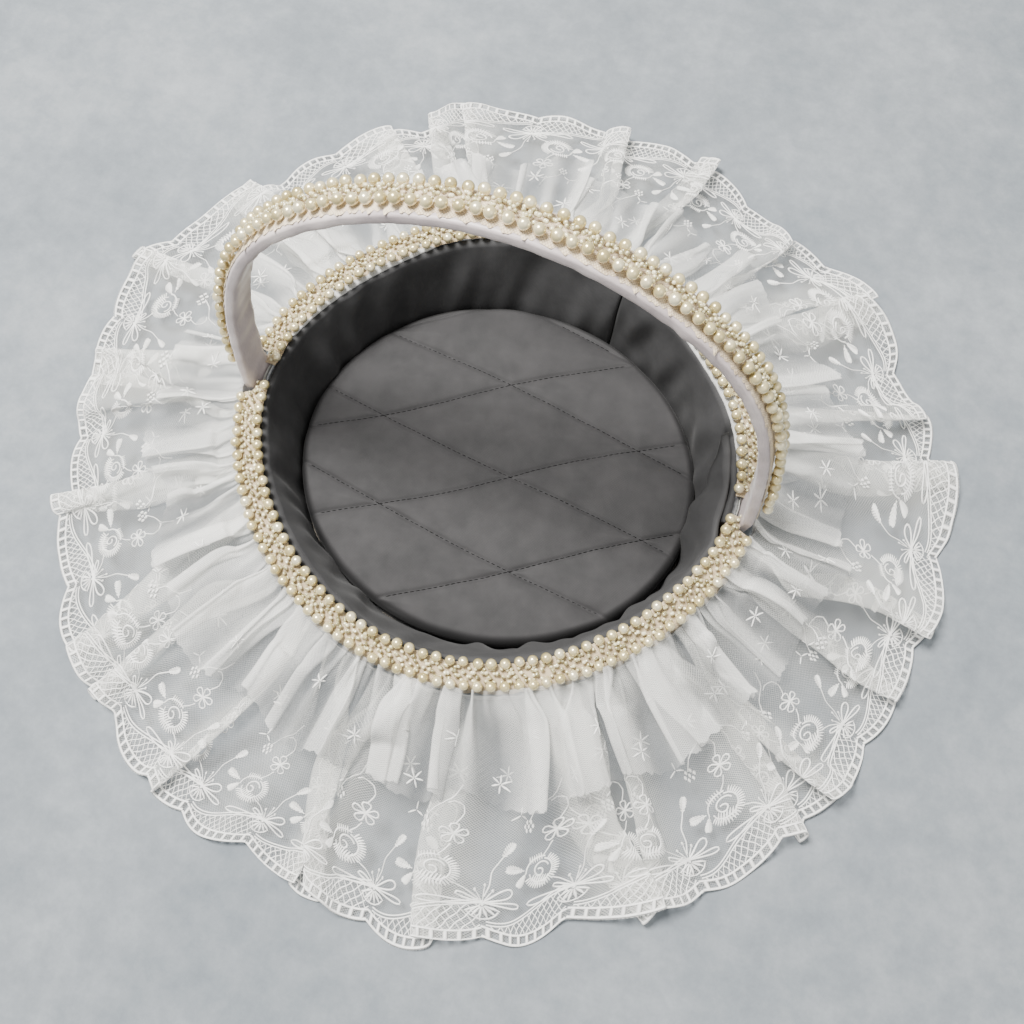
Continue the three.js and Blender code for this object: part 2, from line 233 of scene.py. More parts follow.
class Look:
    """A material, its Principled shader's own uniform values, and short ways to add nodes to it."""

    def __init__(self, name, **shader):
        self.material = bpy.data.materials.new(name)
        self.material.use_nodes = True
        self.tree = self.material.node_tree
        self.shader = self.tree.nodes["Principled BSDF"]
        for key, value in shader.items():
            self.shader.inputs[key.replace("_", " ")].default_value = value

    def node(self, kind, inputs=None, **settings):
        """Adds a node; an input is a value, or another node's output to link."""
        made = self.tree.nodes.new("ShaderNode" + kind)
        for key, value in settings.items():
            setattr(made, key, value)
        for key, value in (inputs or {}).items():
            if isinstance(value, bpy.types.NodeSocket):
                self.tree.links.new(value, made.inputs[key])
            else:
                made.inputs[key].default_value = value
        return made

    def where(self):
        return self.node("TexCoord").outputs["Object"]

    def attribute(self, name, output="Fac"):
        return self.node("Attribute", attribute_name=name).outputs[output]

    def flat_axes(self):
        """The two coordinates of a place on the cut cloth."""
        split = self.node("SeparateXYZ", {"Vector": self.attribute("flat", "Vector")})
        return split.outputs["X"], split.outputs["Y"]

    def maths(self, operation, a, b=0.0, c=0.0):
        return self.node("Math", {0: a, 1: b, 2: c}, operation=operation).outputs["Value"]

    def scaled(self, value, by, plus):
        return self.maths("MULTIPLY_ADD", value, by, plus)

    def noise(self, co, scale, detail=3.0, roughness=0.5):
        inputs = {"Vector": co, "Scale": scale, "Detail": detail, "Roughness": roughness}
        return self.node("TexNoise", inputs).outputs["Fac"]

    def grain(self, co, squeeze, scale, detail, roughness):
        """Noise drawn out along the axes that are squeezed."""
        drawn = self.node("Mapping", {"Vector": co, "Scale": squeeze}).outputs["Vector"]
        return self.noise(drawn, scale, detail, roughness)

    def ramp(self, fac, *stops):
        made = self.node("ValToRGB", {"Fac": fac})
        elements = made.color_ramp.elements
        while len(elements) < len(stops):
            elements.new(0.5)
        for element, (position, colour) in zip(elements, stops):
            element.position, element.color = position, srgb(*colour)
        return made.outputs["Color"]

    def finish(self, height=None, strength=0.0, depth=0.0, **sockets):
        """Links outputs to the shader's inputs, and a height as relief of a depth."""
        if height is not None:
            inputs = {"Height": height, "Strength": strength, "Distance": depth}
            sockets["Normal"] = self.node("Bump", inputs).outputs["Normal"]
        for key, socket in sockets.items():
            self.tree.links.new(socket, self.shader.inputs[key.replace("_", " ")])
        return self.material


# Near-black colour of the painted shade in the cloth's creases, seams and recesses
CREASE_SHADE = (10, 10, 11)
MOTTLE = 60.0  # patches of dye to the metre
TWIST = 0.5 * MM  # one turn of a thread's twist


def woven_cloth(name, dark, light, pitch, roughness, sheen, bump=0.25):
    """Plain woven cloth: thread-scale weave, uneven dye, sheen, soft wear, and painted shade that darkens it
    in creases, seams and recesses.
    """
    look = Look(name, Sheen_Weight=sheen, Sheen_Roughness=0.45, Specular_IOR_Level=0.35)
    where = look.where()
    threads = [look.maths("SINE", look.maths("MULTIPLY", axis, math.pi / pitch)) for axis in look.flat_axes()]
    weave = look.maths("MULTIPLY_ADD", *threads, 0.5)
    dye = look.scaled(weave, 0.25, look.noise(where, MOTTLE, 4.0, 0.6))
    unshaded = look.ramp(dye, (0.3, dark), (0.85, light))
    # Painted shade: a per-corner attribute mixes the cloth towards near-black in creases, seams and under the
    # lining's flap, where shadow falls
    with_painted_shade = look.node("MixRGB", {"Fac": look.attribute("crease_shade"), "Color1": unshaded, "Color2": srgb(*CREASE_SHADE)})
    return look.finish(
        look.scaled(look.noise(where, 1400.0, 2.0), 0.6, weave), bump, 0.12 * MM,
        Base_Color=with_painted_shade.outputs["Color"],
        Roughness=look.scaled(look.noise(where, 2.3 * MOTTLE), 0.18, roughness - 0.09),
    )


def net_cloth(name, colour, valley_shade, pitch, thread, haze):
    """Fine diamond net: slanting threads, loose fibre between them, and painted shade that greys it in the
    pleats' valleys.
    """
    look = Look(name, Base_Color=srgb(*colour), Roughness=0.75, Sheen_Weight=0.25, Specular_IOR_Level=0.25)
    where, axes, crest = look.where(), look.flat_axes(), look.attribute("crest")
    drift = look.maths("MULTIPLY", look.noise(where, 130.0), 0.9 * MM)
    lines = []
    for slant in ("ADD", "SUBTRACT"):
        wave = look.maths("PINGPONG", look.maths("ADD", look.maths(slant, *axes), drift), pitch / 2)
        line = look.node("MapRange", {0: wave, 1: thread / 2, 2: thread, 3: 1.0, 4: 0.0}, clamp=True)
        lines.append(line.outputs[0])
    cover = look.maths("MAXIMUM", *lines)
    thin = look.scaled(look.noise(where, 45.0, 4.0), haze, haze * 0.5)
    thin = look.maths("MULTIPLY", thin, look.scaled(crest, 0.7, 0.9))
    # Painted shade: where the crest is low, the colour goes down to the valley shade
    shade = look.scaled(look.noise(where, 40.0), 0.3, crest)
    return look.finish(
        cover, 0.3, 0.1 * MM,
        Alpha=look.maths("MAXIMUM", look.maths("MULTIPLY", cover, 0.8), thin),
        Base_Color=look.ramp(shade, (0.15, valley_shade), (0.8, colour)),
    )


def pearl_material():
    """Cream imitation pearl: a lacquered nacre with small differences from pearl to pearl."""
    look = Look(
        "pearl", Roughness=0.27, Metallic=0.55, Coat_Weight=1.0, Coat_Roughness=0.06, Coat_IOR=1.7,
        Specular_IOR_Level=0.6,
    )
    where = look.where()
    shades = (0.35, (196, 180, 126)), (0.5, (224, 209, 158)), (0.68, (242, 232, 196))
    tint = look.ramp(look.noise(where, 110.0, 1.0), *shades)
    return look.finish(look.noise(where, 900.0, 3.0), 0.06, 0.1 * MM, Base_Color=tint)


def seed_material():
    """Tiny clear-cream glass beads, silver lined."""
    look = Look("seed_bead", Roughness=0.12, Coat_Weight=0.8, Coat_Roughness=0.05, Specular_IOR_Level=0.8)
    shades = (0.36, (126, 116, 78)), (0.5, (188, 178, 134)), (0.64, (232, 224, 188))
    return look.finish(Base_Color=look.ramp(look.noise(look.where(), 420.0, 1.0), *shades))


def thread_material(name, colour, shade, sheen):
    """Stitching thread, with the fine ridges of its twist across it."""
    look = Look(name, Roughness=0.6, Sheen_Weight=sheen, Specular_IOR_Level=sheen)
    ridge = look.maths("SINE", look.maths("MULTIPLY", look.maths("ADD", *look.flat_axes()), TURN / TWIST))
    tone = look.scaled(ridge, 0.12, look.noise(look.where(), 240.0))
    return look.finish(ridge, 0.4, 0.08 * MM, Base_Color=look.ramp(tone, (0.3, shade), (0.6, colour)))


def satin_material():
    """Pale mauve satin: long floats along the band, soft bands of tone, high sheen."""
    look = Look(
        "satin", Roughness=0.42, Sheen_Weight=0.4, Sheen_Roughness=0.35, Specular_IOR_Level=0.5,
        Anisotropic=0.4,
    )
    floats = look.grain(look.attribute("flat", "Vector"), (0.12, 1.0, 1.0), 2600.0, 3.0, 0.7)
    tone = look.scaled(floats, 0.35, look.maths("MULTIPLY", look.noise(look.where(), 40.0), 0.65))
    shades = (0.3, (150, 138, 140)), (0.5, (183, 172, 172)), (0.72, (214, 204, 200))
    return look.finish(floats, 0.25, 0.1 * MM, Base_Color=look.ramp(tone, *shades))


def board_material(name, dark, light, squeeze):
    """Pressed fibre board: short fibres and flecks."""
    look = Look(name, Roughness=0.85, Specular_IOR_Level=0.25)
    where = look.where()
    fibres = look.grain(where, squeeze, 900.0, 6.0, 0.7)
    flecks = look.scaled(look.noise(where, 60.0), 0.5, fibres)
    return look.finish(fibres, 0.35, 0.15 * MM, Base_Color=look.ramp(flecks, (0.5, dark), (1.0, light)))


def cane_material():
    """Split cane: long brown grain and paler pith."""
    look = Look("cane", Roughness=0.5, Coat_Weight=0.2, Specular_IOR_Level=0.4)
    grain = look.grain(look.where(), (0.15, 1.0, 0.15), 1500.0, 5.0, 0.65)
    shades = (0.35, (142, 104, 62)), (0.6, (202, 165, 112)), (0.75, (222, 192, 146))
    return look.finish(grain, 0.3, 0.1 * MM, Base_Color=look.ramp(grain, *shades))


def steel_material():
    """Galvanised steel with a dull, spangled skin."""
    look = Look("steel", Metallic=0.95, Specular_IOR_Level=0.5)
    spangle = look.noise(look.where(), 500.0, 4.0, 0.7)
    return look.finish(
        Base_Color=look.ramp(spangle, (0.3, (140, 143, 147)), (0.7, (196, 198, 200))),
        Roughness=look.scaled(spangle, 0.3, 0.22),
    )


def floor_material():
    """Pale blue-grey felted backdrop with soft mottling."""
    look = Look("floor", Roughness=0.95, Specular_IOR_Level=0.1)
    where = look.where()
    broad = look.maths("MULTIPLY", look.noise(where, 9.0, 4.0), 0.45)
    patches = look.scaled(look.noise(where, 55.0, 8.0, 0.75), 0.55, broad)
    shades = (0.3, (104, 111, 117)), (0.5, (124, 130, 135)), (0.68, (144, 149, 153))
    return look.finish(Base_Color=look.ramp(patches, *shades))


lining_cloth = woven_cloth("lining_cloth", (37, 37, 38), (57, 57, 58), 0.45 * MM, 0.75, 0.04)
pad_cloth = woven_cloth("pad_cloth", (34, 34, 35), (49, 48, 49), 0.45 * MM, 0.75, 0.04)
cover_cloth = woven_cloth("cover_cloth", (222, 220, 214), (240, 238, 233), 0.5 * MM, 0.75, 0.3)
tape_cloth = woven_cloth("tape_cloth", (140, 124, 96), (206, 188, 156), 0.5 * MM, 0.7, 0.25, 0.4)
gauze = woven_cloth("gauze", (150, 152, 152), (206, 206, 203), 0.6 * MM, 0.8, 0.2, 0.5)
handle_gauze = woven_cloth("handle_gauze", (172, 152, 124), (226, 210, 184), 0.6 * MM, 0.8, 0.25, 0.5)
satin, pearl, seed_bead = satin_material(), pearl_material(), seed_material()
floss = thread_material("floss", (250, 250, 246), (232, 231, 228), 0.35)
# Near-black stitching thread; its darkness also paints the shade in the quilting's grooves
dark_thread_groove_shade = thread_material("dark_thread_groove_shade", (16, 16, 17), (8, 8, 9), 0.02)
# The second colour of each net is the painted shade in its pleats' valleys
lace_net = net_cloth("lace_net", (238, 238, 232), (172, 174, 174), 1.25 * MM, 0.13 * MM, 0.07)
tulle = net_cloth("tulle", (244, 244, 240), (118, 121, 123), 0.9 * MM, 0.09 * MM, 0.17)


# ---- Base and wall ----
def disc_grid(count):
    """Corners of a grid over the unit disc, with even cells."""
    u, v = np.meshgrid(np.linspace(-1, 1, count), np.linspace(-1, 1, count))
    return u * np.sqrt(1 - v * v / 2), v * np.sqrt(1 - u * u / 2)


QUILT_NODE = np.array([7.7, -3.5]) * MM  # where two stitch lines cross
QUILT_A = np.array([60.3, 33.4]) * MM  # from one crossing to the next, along each set of lines
QUILT_B = np.array([74.5, -14.8]) * MM
QUILT_CELL = abs(QUILT_A[0] * QUILT_B[1] - QUILT_A[1] * QUILT_B[0])  # area of one diamond
STITCH, STITCH_PITCH, THREAD_R = 2.9 * MM, 3.0 * MM, 0.26 * MM


def quilt_wander(x, y):
    """How far the stitch lines stray from straight ones."""
    return 1.2 * MM * np.sin(x / (31 * MM) + 1.7 * np.sin(y / (47 * MM)))


def quilt_distance(x, y):
    """Distance to the nearest stitch line."""
    dx, dy = x - QUILT_NODE[0], y - QUILT_NODE[1]
    far = []
    for along in (QUILT_A, QUILT_B):
        length = np.linalg.norm(along)
        spacing = QUILT_CELL / length
        side = (dx * along[1] - dy * along[0]) / length + quilt_wander(x, y)
        far.append(np.abs((side / spacing + 0.5) % 1 - 0.5) * spacing)
    return np.minimum(*far)


def stitch_lines(edge_x, edge_y):
    """Points along each stitch line that crosses the pad."""
    lines = []
    for along in (QUILT_A, QUILT_B):
        length = np.linalg.norm(along)
        ahead, side = along / length, np.array([along[1], -along[0]]) / length
        straight = QUILT_NODE + ahead * np.arange(-140, 140, 0.5)[:, None] * MM
        for n in range(-4, 5):
            away = n * QUILT_CELL / length
            points = straight + side * away
            for _ in range(6):
                points = straight + side * (away - quilt_wander(points[:, :1], points[:, 1:]))
            inside = np.hypot(points[:, 0] / edge_x, points[:, 1] / edge_y) < 0.95
            if inside.sum() > 20:
                lines.append(points[inside])
    return lines


def make_pad():
    """The loose pad: two layers of cloth, stitched in diamonds over wadding."""
    low, high = span("base_pad")
    count = 250
    u, v = disc_grid(count)
    edge_x, edge_y = high[:2]
    x, y = u * edge_x, v * edge_y
    pucker = Ripples(3, 14, (1, 3), (120, 420))
    swells = Ripples(5, 8, (1, 2), (20, 60))
    middle = (low[2] + high[2]) / 2

    def top(x, y):
        rho = np.hypot(x / edge_x, y / edge_y)
        near = quilt_distance(x, y)
        puff = 2.0 * MM * (1 - np.exp(-near / (8 * MM))) - 0.5 * MM * np.exp(-((near / (1.0 * MM)) ** 2))
        wrinkles = pucker(x / (9 * MM), y) * np.exp(-near / (7 * MM)) * 0.3 * MM
        broad = swells(x / (40 * MM), y) * 0.7 * MM
        round_edge = np.sqrt(np.clip(1 - np.clip((rho - 0.95) / 0.05, 0, 1) ** 2, 0, 1))
        return middle + (high[2] - middle - 1.2 * MM + puff + wrinkles + broad) * round_edge, round_edge

    upper, round_edge = top(x, y)
    lower = middle - (middle - low[2] - 0.2 * MM) * round_edge
    co = np.stack([stacked(x, y, upper), stacked(x, y, lower)])
    flat = np.stack([stacked(x, y)] * 2)
    faces = grid_faces(count, count)
    faces = np.concatenate([faces, faces[:, ::-1] + count * count])
    # Painted shade: the pad's cloth darkens towards near-black at its rounded rim, where it meets the wall
    crease_shade = np.tile(0.85 * smoothstep(0.955, 0.995, np.hypot(u, v)).ravel(), 2)
    pad = mesh_piece("quilted_pad", co, faces, pad_cloth, flat, crease_shade)
    bm = bmesh.new()
    bm.from_mesh(pad.data)
    bmesh.ops.remove_doubles(bm, verts=bm.verts, dist=0.02 * MM)
    bm.to_mesh(pad.data)
    bm.free()
    place(pad, "quilt", ["base_pad"], body="pad")
    make_stitches(edge_x, edge_y, top)


def make_stitches(edge_x, edge_y, top):
    """Short dark stitches along the quilting, each a thin bar that dips at both ends. They are real
    stitching, and their near-black colour also paints the shade in the quilting's grooves.
    """
    starts, corners, quads = 0, [], []
    for line in stitch_lines(edge_x, edge_y):
        along = arc_lengths(line)
        for begin in np.arange(0.5 * MM, along[-1] - 3 * MM, STITCH_PITCH):
            mid = resample(line, begin + STITCH * np.array([0, 0.35, 0.65, 1.0]))
            step = (mid[-1] - mid[0]) / np.linalg.norm(mid[-1] - mid[0])
            side = np.array([-step[1], step[0]]) * THREAD_R
            rise = top(mid[:, 0], mid[:, 1])[0] + np.array([-0.12, 0.08, 0.08, -0.12]) * MM
            bar = ((1, 0), (0, 0.8), (-1, 0), (0, -0.8))
            ring = [np.c_[mid + side * across, rise + THREAD_R * up] for across, up in bar]
            corners.append(np.stack(ring, 1).reshape(-1, 3))
            quads.append(grid_faces(4, 4, round_columns=True) + starts)
            quads.append(np.array([[3, 2, 1, 0], [12, 13, 14, 15]]) + starts)
            starts += 16
    thread = mesh_piece("pad_stitches", np.concatenate(corners), np.concatenate(quads), dark_thread_groove_shade)
    place(thread, "quilt", body="pad")


SEAM, HIDDEN_END = math.radians(70), math.radians(-5)  # the short panel's ends
FLAP_LOW, FLAP_HIGH = math.radians(-11), math.radians(20)  # the long panel's free edge, at foot and top
FLAP_LIFT = 4.9 * MM  # how far that edge stands off the short panel


def lining_profile():
    """Offsets and heights round a panel's section, and how freely the cloth ripples at each."""
    height, rows_in = LINING_TOP - LINING_LOW, 44
    up = np.linspace(0, 1, rows_in)
    inner = [(-1.8 * MM * math.sin(math.pi * t) ** 0.7, LINING_LOW + height * t * 0.985) for t in up]
    crown = [(1.2 * MM, LINING_TOP - 0.1 * MM), (3.2 * MM, LINING_TOP)]
    outer = [(4.2 * MM, LINING_LOW + height * 0.97 * (1 - t)) for t in np.linspace(0, 1, 10)]
    profile = np.array(inner + crown + outer)
    loose = np.zeros((len(profile), 1))
    loose[:rows_in, 0] = np.sin(np.pi * np.clip(up, 0.02, 0.97)) ** 0.5
    return profile, loose


def make_lining():
    """The padded wall lining in two panels; the long one's slanting end lies over the short one."""
    wrinkles = Ripples(11, 26, (7, 50), (-130, 130), 0.6)
    broad = Ripples(12, 10, (3, 9), (-40, 40), 0.5)
    profile, loose = lining_profile()
    section, z = profile[:, :1], profile[:, 1:]
    level = (z - LINING_LOW) / (LINING_TOP - LINING_LOW)
    flap_edge = FLAP_LOW + (FLAP_HIGH - FLAP_LOW) * level**1.3
    for name, start, stop, node_name in (
        ("lining_long_panel", SEAM + 0 * level, TURN + flap_edge, "wall_lining_main"),
        ("lining_short_panel", HIDDEN_END + 0 * level, SEAM + 0 * level, "wall_lining_side"),
    ):
        columns = int(400 * (stop - start).max() / TURN) + 2
        theta = start + 0.004 + (stop - start - 0.008) * np.linspace(0, 1, columns)
        to_end = (stop - theta) * MOUTH_R
        to_either = np.minimum((theta - start) * MOUTH_R, to_end)
        puff = 1.0 * MM * wrinkles(theta, z) + 1.5 * MM * broad(theta, z)
        offset = section + loose * (puff + 1.6 * MM * np.exp(-to_either / (3.5 * MM)))
        if name == "lining_long_panel":
            over = smoothstep(TURN - math.radians(13), TURN - math.radians(4), theta)
            lift = FLAP_LIFT * (1 - 0.45 * level**4) + 2.8 * MM * loose + 1.2 * MM * (section > 3 * MM)
            offset = offset - over * lift
            # Painted shade: the long panel darkens towards near-black at its free edge, the flap
            crease_shade = 0.97 * np.exp(-((to_end / (5 * MM)) ** 2))
        else:
            # Painted shade on the short panel under the flap and in a band past its edge, wider towards the
            # foot
            past_flap = (theta - flap_edge) * MOUTH_R
            beyond = np.maximum(past_flap - (1 + 12 * (1 - level)) * MM, 0)
            crease_shade = np.where(past_flap > -3 * MM, np.exp(-((beyond / (4 * MM)) ** 2)), 0)
        # Painted shade at both ends of each panel, in the seams
        crease_shade = np.maximum(crease_shade, 0.8 * np.exp(-to_either / (0.7 * MM)) * (loose > 0))
        flat = stacked(theta * MOUTH_R, arc_lengths(profile)[:, None])
        faces = grid_faces(len(profile), columns, round_rows=True)
        panel = mesh_piece(name, on_wall(theta, offset, z), faces, lining_cloth, flat, crease_shade)
        first = np.arange(len(profile)) * columns
        close_ends(panel, [first, first + columns - 1])
        place(panel, "lining", [node_name])


def close_ends(piece, loops):
    """Fills loops of corners and turns every face outwards."""
    bm = bmesh.new()
    bm.from_mesh(piece.data)
    bm.verts.ensure_lookup_table()
    for loop in loops:
        bm.faces.new([bm.verts[i] for i in loop])
    bmesh.ops.recalc_face_normals(bm, faces=bm.faces)
    bm.to_mesh(piece.data)
    bm.free()


def make_base_lining():
    """Dark cloth over the board, with faint wrinkles that die away towards its edge."""
    count = 60
    u, v = disc_grid(count)
    wrinkle = Ripples(21, 12, (1, 4), (60, 300))(u * 6, v * floor_high[1]) * 0.12 * MM
    middle = (floor_low[2] + floor_high[2]) / 2
    edge_x, edge_y = floor_high[:2] + 0.7 * GAP
    co = stacked(u * edge_x, v * edge_y, middle + wrinkle * (1 - u * u - v * v).clip(0))
    flat = stacked(u * floor_high[0], v * floor_high[1])
    cloth = cloth_piece("base_cloth", co, flat, lining_cloth, "lining", ["base_lining"])


def make_cover():
    """Light cloth over the outside of the wall, with small vertical gathers."""
    low, high = span("outer_cover")
    theta = np.linspace(0, TURN, 480, endpoint=False)
    z = np.linspace(low[2], high[2], 24)[:, None]
    gathers = Ripples(31, 16, (30, 110), (-15, 15))(theta, z * 20) * 0.09 * MM
    a, b = half_widths(z)
    out = SHELL_OUTSIDE + 0.7 * MM + gathers
    co = stacked((a + out) * np.cos(theta), (b + out) * np.sin(theta), z)
    flat = stacked(theta * MOUTH_R, z)
    cloth = cloth_piece("wall_cloth", co, flat, cover_cloth, "cover", ["outer_cover"], round_columns=True)


# ---- Pearl trim of the rim ----
PEARL_PITCH = 6.2 * MM
GAUZE_WIDTH = 10.5 * MM
PAST_HANDLE = 0.06  # angle by which the inner row goes on past the outer one's end, inside the handle
RUNS = {"front": (math.pi + TRIM_BREAK, TURN - TRIM_BREAK), "back": (TRIM_BREAK, math.pi - TRIM_BREAK)}


def on_trim(theta, across, lift=0.0):
    """Points at pearl height over the sloping trim: across is 0 at the inner row and 1 at the outer one."""
    squeezed = 1 - 0.1 * np.exp(-(((np.asarray(theta) % TURN - 1.5 * math.pi) / 0.9) ** 2))
    offset = INNER_ROW + across * (OUTER_ROW - INNER_ROW) * squeezed
    return on_mouth(theta, offset, PEARL_Z - TRIM_DROP * across + lift)


def rim_line(across, start, stop):
    return on_trim(np.linspace(start, stop, 400), across)


def strung(line, pitch, jitter):
    """Places along a line for beads at about a pitch, each a little out of true."""
    total = arc_lengths(line)[-1]
    count = int(total / pitch)
    places = (np.arange(count) + 0.5) * total / count
    return resample(line, places + rng.normal(0, 0.25 * jitter, count)) + rng.normal(0, jitter, (count, 3))


def seed_zigzag(line_of, starts, reach, lift):
    """Chains of seed beads that cross between two rows of pearls, from gap to gap."""
    centres = []
    for k, s in enumerate(starts):
        lean = 0.5 * PEARL_PITCH * (1 if k % 2 else -1) + rng.normal(0, 0.6 * MM)
        bow = rng.normal(0, 1.0 * MM)
        for t in np.linspace(-1, 1, 4):
            across = t * reach + rng.normal(0, 0.15 * MM)
            along = s + t * lean + bow * (1 - t * t) + rng.normal(0, 0.15 * MM)
            centres.append(line_of(along, across, lift + 0.8 * MM * (1 - t * t)))
    return centres


def pearl_strand(name, centres, stands_for):
    strand = beads(name, centres, rng.normal(PEARL_R, 0.06 * MM, len(centres)), PEARL, pearl)
    place(strand, "pearl", [stands_for])


def seed_strand(name, centres, stands_for):
    strand = beads(name, centres, rng.normal(0.95 * MM, 0.07 * MM, len(centres)), SEED, seed_bead)
    place(strand, "seed_bead", [stands_for])


def make_rim_trim():
    for run, (start, stop) in RUNS.items():
        for row, across, more in (("inner", 0, PAST_HANDLE), ("outer", 1, 0)):
            centres = strung(rim_line(across, start - more, stop + more), PEARL_PITCH, 0.22 * MM)
            pearl_strand(f"pearls_{row}_{run}", centres, f"rim_pearls_{row}_{run}")
        total = arc_lengths(rim_line(0.5, start, stop))[-1]

        def seat(along, across, lift):
            theta = start + (stop - start) * along / total
            if not 0 < along < total:  # only the trim's inner half goes past the handle
                across = 0.4 * across - 2.2 * MM
            return on_trim(theta, 0.5 + across / (OUTER_ROW - INNER_ROW), lift - PEARL_R)

        past = PAST_HANDLE * MOUTH_R - 2 * MM
        starts = np.arange(PEARL_PITCH / 2 - past, total + past, PEARL_PITCH * 0.42)
        centres = seed_zigzag(seat, starts, 3.0 * MM, 1.3 * MM)
        seed_strand(f"seed_beads_{run}", centres, f"rim_seed_beads_{run}")
        make_rim_tape(run, start, stop)


def make_rim_tape(run, start, stop):
    """The tape under the pearls: folded edges that show just inside and outside the rows."""
    theta = np.linspace(start - PAST_HANDLE, stop + PAST_HANDLE, 420)
    inside_run = smoothstep(-0.01, 0.005, np.minimum(theta - start, stop - theta))
    across = -1 + (np.linspace(-1, 1, 15)[:, None] + 1) * (0.45 + 0.55 * inside_run)
    between = OUTER_ROW - INNER_ROW
    middle, reach = between / 2 + 1.0 * MM, between / 2 + 1.5 * MM
    wave = Ripples(41, 18, (20, 130), (0, 3))(theta, across)
    offset = middle + across * (reach + 0.35 * MM * wave * np.abs(across) ** 3)
    droop = 1.2 * MM * np.abs(across) ** 6 + 2.2 * MM * np.clip(across, 0, 1) ** 5
    co = on_trim(theta, offset / between, 0.1 * MM * wave - PEARL_R - 0.15 * MM - droop)
    flat = stacked(theta * MOUTH_R, across * reach)
    tape = cloth_piece(f"rim_tape_cloth_{run}", co, flat, tape_cloth, "tape", [f"rim_tape_{run}"])


def make_gauze_edges():
    """Frayed gauze that shows inside the inner row, at both ends of the back run."""
    fold = 6.2 * MM  # how far the strip goes inwards before it turns down
    for side, start, stop in (("right", 8, 58), ("left", 122, 168)):
        theta = np.radians(np.linspace(start, stop, 240))
        down = np.linspace(0, 1, 12)[:, None] * GAUZE_WIDTH
        shown = np.sin(math.pi * (theta - theta[0]) / (theta[-1] - theta[0])) ** 0.5
        fray = Ripples(45, 24, (60, 420), (0, 2))(theta, down) * 0.35 * MM
        inwards = np.minimum(down, fold)
        fall = np.maximum(down - fold, 0) * (0.3 + 0.7 * shown) + fray * (down > 9 * MM)
        offset = INNER_ROW + 3.6 * MM - inwards * (0.62 + 0.38 * shown) + 0.15 * fray
        z = PEARL_Z - PEARL_R - 0.5 * MM - 0.12 * inwards - fall
        co = on_mouth(theta, offset, z)
        flat = stacked(theta * MOUTH_R, down)
        strip = cloth_piece(f"gauze_edge_{side}", co, flat, gauze, "tape")


# ---- Handle ----
HANDLE_LEAN = math.radians(12.3)
ARCH_POWER = 2.04
ARCH_BULGE = 10.4 * MM  # how far the arch swells beyond its ends on the way up
ARCH_SKEW = -8 * MM  # how far the arch's top sits to one side of its ends
core_high = span("handle_core")[1]
wrap_low = span("handle_wrap")[0]
CORE_WIDTH = 17 * MM
WRAP_WIDTH, WRAP_THICK = 19 * MM, 6 * MM
REACH = half_widths(PEARL_Z)[0] + 12.9 * MM
RISE = (core_high[2] - PEARL_Z - CORE_WIDTH / 2 * math.sin(HANDLE_LEAN)) / math.cos(HANDLE_LEAN)
RISE -= CORE_T / 2  # to the core's middle


class HandleLine:
    """The handle's line outside its core's middle, with its outward and cross directions."""

    def __init__(self, outside, low):
        tail_z = np.arange(low, PEARL_Z, 2 * MM) if low < PEARL_Z else np.array([])
        foot = half_widths(tail_z)[0] + REACH - half_widths(PEARL_Z)[0] + outside
        tail = np.stack([-foot, 0 * tail_z, tail_z], -1)
        begin = math.asin(min(max((low - PEARL_Z) / RISE, 0), 1) ** (ARCH_POWER / 2))
        angle = np.linspace(math.pi - begin, begin, 600)
        c, s = np.cos(angle), np.clip(np.sin(angle), 0, 1)
        rise = (RISE + outside) * s ** (2 / ARCH_POWER)
        swell = ARCH_BULGE * c * np.sin(2 * angle) ** 2 + ARCH_SKEW * rise / RISE
        x = (REACH + outside) * np.sign(c) * np.abs(c) ** (2 / ARCH_POWER) + swell
        arch = np.stack([x, rise * math.sin(HANDLE_LEAN), PEARL_Z + rise * math.cos(HANDLE_LEAN)], -1)
        line = np.concatenate([tail, arch, tail[::-1] * (-1, 1, 1)])
        self.length = arc_lengths(line)[-1]
        self.line = resample(line, np.linspace(0, self.length, 1200))

    def at(self, along):
        """Points, outward and cross directions at distances along the line."""
        along = np.asarray(along, float)
        point = resample(self.line, along)
        step = 1.5 * MM
        ahead = resample(self.line, np.minimum(along + step, self.length))
        behind = resample(self.line, np.maximum(along - step, 0))
        tangent = ahead - behind
        tangent /= np.linalg.norm(tangent, axis=-1, keepdims=True)
        lean = HANDLE_LEAN * smoothstep(PEARL_Z - 12 * MM, PEARL_Z + 25 * MM, point[..., 2])
        across = np.stack([0 * lean, np.cos(lean), -np.sin(lean)], -1)
        outward = np.cross(tangent, across)
        outward /= np.linalg.norm(outward, axis=-1, keepdims=True)
        return point, outward, across


HANDLE_ROW = 5.2 * MM  # from the band's middle to each pearl row
HANDLE_TRIM_LOW = span("handle_pearls_front")[0][2] + PEARL_R


def make_handle_wrap():
    """Satin sewn round the cane strip, with a lengthwise seam inside and drag lines across."""
    line = HandleLine(0, wrap_low[2])
    along = np.linspace(0, line.length, 420)
    point, outward, across = (part[:, None, :] for part in line.at(along))
    turn = np.linspace(0, TURN + 0.12, 44) + math.radians(285)
    c, s = np.cos(turn), np.sin(turn)
    x = np.sign(c) * np.abs(c) ** 0.4 * WRAP_WIDTH / 2
    y = np.sign(s) * np.abs(s) ** 0.45 * (WRAP_THICK / 2 - 0.05 * MM)
    drag = Ripples(51, 30, (2, 3), (60, 700), 0.3)(turn * 0.7, along[:, None])
    swell = 1 + 0.035 * drag * (y < 0) + 0.01 * drag
    seam = -0.35 * MM * smoothstep(TURN - 0.1, TURN + 0.05, turn - turn[0])
    co = point + across * (x * (1 + 0.01 * drag))[..., None] + outward * (y * swell + seam)[..., None]
    girth = arc_lengths(stacked(x, y))
    flat = stacked(along[:, None], girth)
    wrap = cloth_piece("satin_wrap", co, flat, satin, "satin", ["handle_wrap"])


